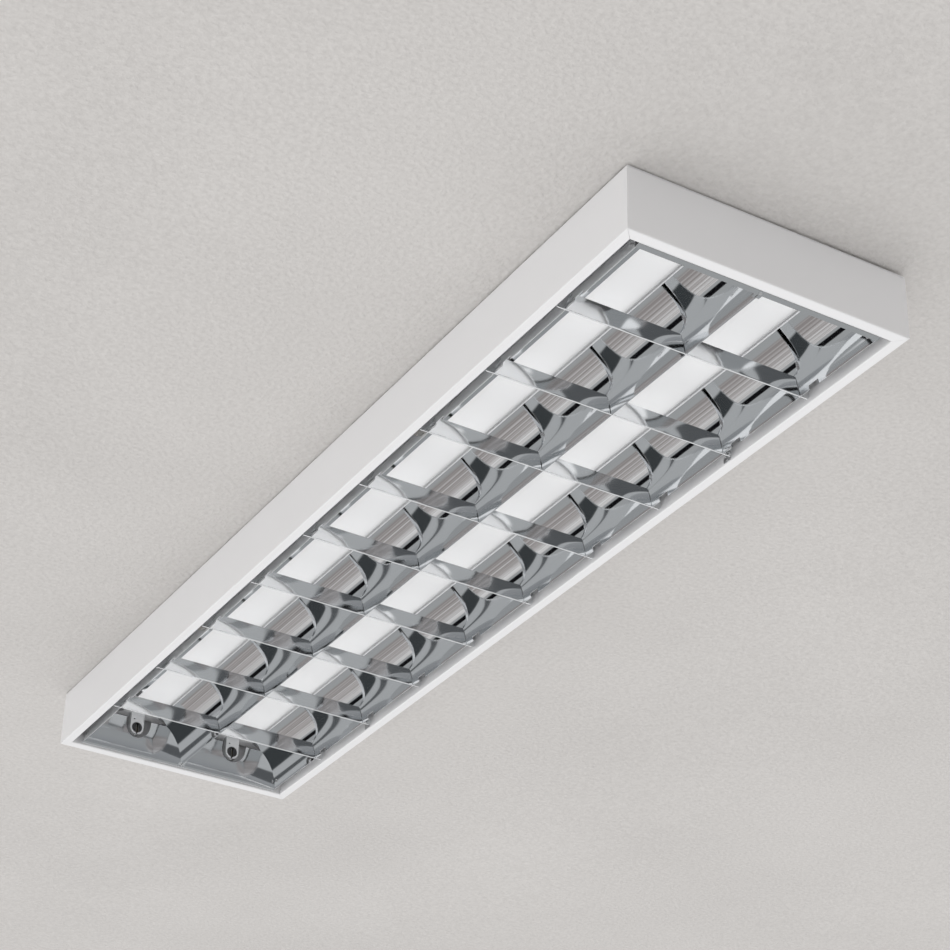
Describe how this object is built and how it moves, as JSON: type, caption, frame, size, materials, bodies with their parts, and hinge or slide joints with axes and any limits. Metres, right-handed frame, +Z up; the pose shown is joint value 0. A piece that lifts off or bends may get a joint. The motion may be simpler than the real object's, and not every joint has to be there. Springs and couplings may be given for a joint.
{
  "type": "surface mount louvre light",
  "caption": "Long shallow surface mounted ceiling light with a white steel housing and a hinged mirror louvre in two columns over open lamp spaces.",
  "frame": {"origin": "middle of the flat face that lies against the ceiling, at the centre of the four fixing slots", "axes": "+Z up, out of the ceiling face; X along the tubes; the louvre hangs on the +Y long side and opens at the -Y side"},
  "size_m": [1.2, 0.296, 0.066],
  "materials": {
    "housing_paint": "satin white powder coat",
    "tray_paint": "satin white powder coat",
    "mirror_sheet": "bright anodised aluminium, mirror",
    "blade_sheet": "bright anodised aluminium, near mirror",
    "zinc_steel": "zinc plated",
    "spring_steel": "spring steel",
    "rivet_metal": "plain",
    "bush_rubber": "matt",
    "ballast_case": "satin",
    "terminal_plastic": "matt",
    "contact_brass": "plain",
    "holder_plastic": "matt light grey",
    "rotor_plastic": "matt black"
  },
  "bodies": {
    "housing": {"ballast": "ballast_case", "ballast_screws": "zinc_steel", "cable_bush": "bush_rubber", "earth_nut": "zinc_steel", "earth_stud": "zinc_steel", "end_plate_far": "housing_paint", "end_plate_near": "housing_paint", "end_plate_rivets": "rivet_metal", "gear_tray": "tray_paint", "hinge_bracket_far": "zinc_steel", "hinge_bracket_near": "zinc_steel", "hinge_bracket_rivets": "rivet_metal", "housing_channel": "housing_paint", "lamp_contacts": "contact_brass", "lampholder_far_left": "holder_plastic", "lampholder_far_right": "holder_plastic", "lampholder_near_left": "holder_plastic", "lampholder_near_right": "holder_plastic", "terminal_block": "terminal_plastic", "terminal_clamp_screws": "contact_brass", "terminal_fixing_screw": "zinc_steel", "tray_screws": "zinc_steel", "tray_standoffs": "zinc_steel"},
    "louvre": {"side_reflector_left": "mirror_sheet", "side_reflector_right": "mirror_sheet", "spine_reflector": "mirror_sheet", "end_reflector_near": "mirror_sheet", "end_reflector_far": "mirror_sheet", "cross_blade_1": "blade_sheet", "cross_blade_2": "blade_sheet", "cross_blade_3": "blade_sheet", "cross_blade_4": "blade_sheet", "cross_blade_5": "blade_sheet", "cross_blade_6": "blade_sheet", "cross_blade_7": "blade_sheet", "cross_blade_8": "blade_sheet", "cross_blade_9": "blade_sheet", "hinge_pin_near": "zinc_steel", "hinge_pin_far": "zinc_steel", "spring_clip_near": "spring_steel", "spring_clip_far": "spring_steel", "louvre_rivets": "rivet_metal"},
    "rotor_near_left": {"rotor_near_left": "rotor_plastic"},
    "rotor_near_right": {"rotor_near_right": "rotor_plastic"},
    "rotor_far_left": {"rotor_far_left": "rotor_plastic"},
    "rotor_far_right": {"rotor_far_right": "rotor_plastic"}
  },
  "joints": [
    {"name": "louvre_hinge", "type": "hinge", "parent": "housing", "child": "louvre", "pos_m": [0, 0.132, -0.0594], "axis": [1, 0, 0], "range_deg": [0, 90]},
    {"name": "rotor_turn_near_left", "type": "hinge", "parent": "housing", "child": "rotor_near_left", "pos_m": [0.577, -0.0634, -0.032], "axis": [1, 0, 0], "range_deg": [0, 90]},
    {"name": "rotor_turn_near_right", "type": "hinge", "parent": "housing", "child": "rotor_near_right", "pos_m": [0.577, 0.0634, -0.032], "axis": [1, 0, 0], "range_deg": [0, 90]},
    {"name": "rotor_turn_far_left", "type": "hinge", "parent": "housing", "child": "rotor_far_left", "pos_m": [-0.577, -0.0634, -0.032], "axis": [1, 0, 0], "range_deg": [0, 90]},
    {"name": "rotor_turn_far_right", "type": "hinge", "parent": "housing", "child": "rotor_far_right", "pos_m": [-0.577, 0.0634, -0.032], "axis": [1, 0, 0], "range_deg": [0, 90]}
  ]
}
